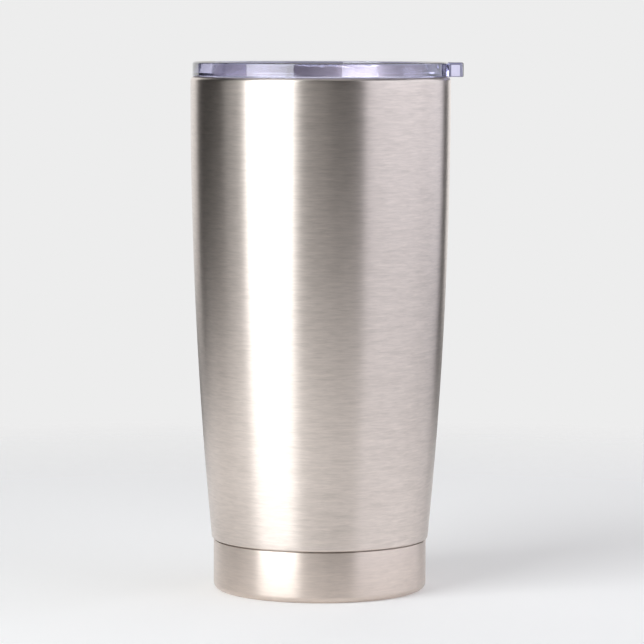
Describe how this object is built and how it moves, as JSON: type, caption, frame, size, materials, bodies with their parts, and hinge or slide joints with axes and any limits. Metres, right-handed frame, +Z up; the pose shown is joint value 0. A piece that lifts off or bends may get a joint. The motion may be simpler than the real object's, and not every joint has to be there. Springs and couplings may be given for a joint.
{
  "type": "insulated tumbler with lid",
  "caption": "Tapered vacuum insulated steel tumbler with a stepped base cup and a clear press-in lid, which has a lift tab and a sliding closure over its drinking opening.",
  "frame": {"origin": "centre of the flat ring that the tumbler stands on", "axes": "+Z up along the tumbler's axis towards the lid; +X towards the lid's lift tab; -X towards the drinking opening"},
  "size_m": [0.0901, 0.0862, 0.1753],
  "materials": {
    "brushed_steel": "brushed around the axis",
    "plain_steel": "as drawn, satin",
    "liner_steel": "electropolished satin",
    "adhesive": "cured bead",
    "solder_glass": "fused, dark",
    "foil": "bright",
    "sintered_getter": "sintered, matt",
    "clear_plastic": "clear moulded, polished, faint violet tint",
    "silicone": "translucent silicone, satin"
  },
  "bodies": {
    "tumbler": {"outer_shell": "brushed_steel", "base_cup": "brushed_steel", "base_bond_ring": "adhesive", "outer_bottom": "plain_steel", "vacuum_seal": "solder_glass", "inner_liner": "liner_steel", "liner_bottom": "liner_steel", "radiation_foil": "foil", "getter_pellet": "sintered_getter", "getter_clip": "plain_steel"},
    "gasket": {"lid_gasket": "silicone"},
    "lid": {"lid_body": "clear_plastic"},
    "slider": {"slider": "clear_plastic", "slider_keeper": "clear_plastic", "slider_seal": "silicone"}
  },
  "joints": [
    {"name": "lid_lift", "type": "slide", "parent": "tumbler", "child": "gasket", "axis": [0, 0, 1], "range_m": [0, 0.04]},
    {"name": "lid_turn", "type": "hinge", "parent": "gasket", "child": "lid", "pos_m": [0, 0, 0.1645], "axis": [0, 0, 1], "continuous": true},
    {"name": "slider_slide", "type": "slide", "parent": "lid", "child": "slider", "axis": [1, 0, 0], "range_m": [0, 0.013]}
  ]
}
